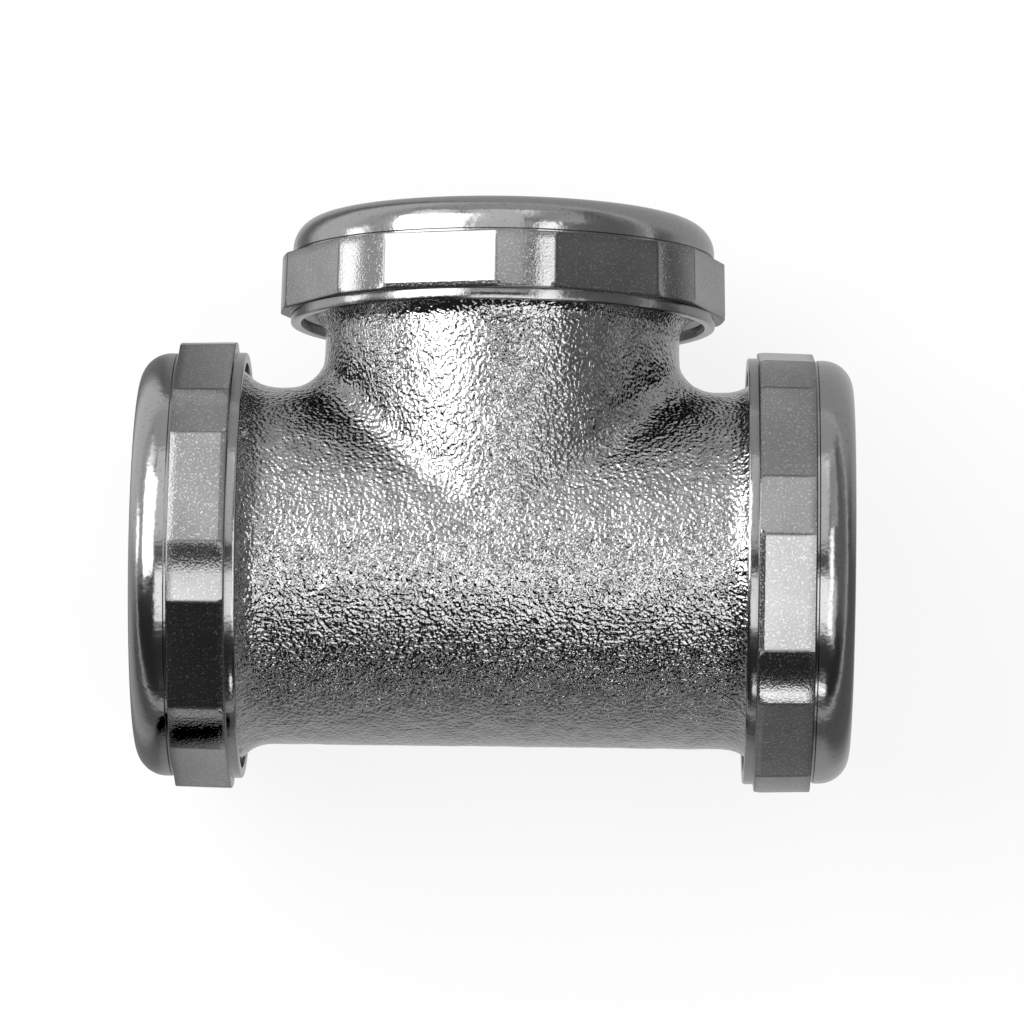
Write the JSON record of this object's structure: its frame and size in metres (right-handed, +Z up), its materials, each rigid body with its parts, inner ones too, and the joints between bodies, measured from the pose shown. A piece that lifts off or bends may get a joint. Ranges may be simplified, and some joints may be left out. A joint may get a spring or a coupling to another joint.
{
  "type": "tube clamp tee fitting",
  "caption": "Cast compression tee for plain steel tube: rough galvanised body with an octagonal clamp nut, split clamp ring and seal at each port.",
  "frame": {"origin": "point where the centre lines of the run and the branch cross", "axes": "X along the run, +Y out of the branch, +Z up with the fitting lying on its three nuts"},
  "size_m": [0.1466, 0.1179, 0.092],
  "materials": {
    "tee_body": "hot-dip galvanised over a rough casting, speckled grey",
    "left_nut": "hot-dip galvanised, satin with a fine grain",
    "left_clamp_ring": "zinc plated steel, turned",
    "left_thrust_ring": "zinc plated steel, stamped",
    "left_seal": "black nitrile rubber, matt",
    "right_nut": "hot-dip galvanised, satin with a fine grain",
    "right_clamp_ring": "zinc plated steel, turned",
    "right_thrust_ring": "zinc plated steel, stamped",
    "right_seal": "black nitrile rubber, matt",
    "branch_nut": "hot-dip galvanised, satin with a fine grain",
    "branch_clamp_ring": "zinc plated steel, turned",
    "branch_thrust_ring": "zinc plated steel, stamped",
    "branch_seal": "black nitrile rubber, matt"
  },
  "bodies": {
    "tee": {"tee_body": "tee_body", "left_thrust_ring": "left_thrust_ring", "left_seal": "left_seal", "right_thrust_ring": "right_thrust_ring", "right_seal": "right_seal", "branch_thrust_ring": "branch_thrust_ring", "branch_seal": "branch_seal"},
    "left_clamp": {"left_clamp_ring": "left_clamp_ring"},
    "left_nut": {"left_nut": "left_nut"},
    "right_clamp": {"right_clamp_ring": "right_clamp_ring"},
    "right_nut": {"right_nut": "right_nut"},
    "branch_clamp": {"branch_clamp_ring": "branch_clamp_ring"},
    "branch_nut": {"branch_nut": "branch_nut"}
  },
  "joints": [
    {"name": "left_clamp_travel", "type": "slide", "parent": "tee", "child": "left_clamp", "axis": [-1, 0, 0], "range_m": [-0.00233, 0.00406]},
    {"name": "left_nut_turn", "type": "hinge", "parent": "left_clamp", "child": "left_nut", "pos_m": [-0.062, 0, 0], "axis": [-1, 0, 0], "range_deg": [-360, 630]},
    {"name": "right_clamp_travel", "type": "slide", "parent": "tee", "child": "right_clamp", "axis": [1, 0, 0], "range_m": [-0.00048, 0.00591]},
    {"name": "right_nut_turn", "type": "hinge", "parent": "right_clamp", "child": "right_nut", "pos_m": [0.062, 0, 0], "axis": [1, 0, 0], "range_deg": [-72, 918]},
    {"name": "branch_clamp_travel", "type": "slide", "parent": "tee", "child": "branch_clamp", "axis": [0, 1, 0], "range_m": [0, 0.00637]},
    {"name": "branch_nut_turn", "type": "hinge", "parent": "branch_clamp", "child": "branch_nut", "pos_m": [0, 0.062, 0], "axis": [0, 1, 0], "range_deg": [0, 990]}
  ],
  "couplings": [
    {"joint": "left_clamp_travel", "follows": "left_nut_turn", "m_per_rad": 0.0003675},
    {"joint": "right_clamp_travel", "follows": "right_nut_turn", "m_per_rad": 0.0003675},
    {"joint": "branch_clamp_travel", "follows": "branch_nut_turn", "m_per_rad": 0.0003675}
  ]
}
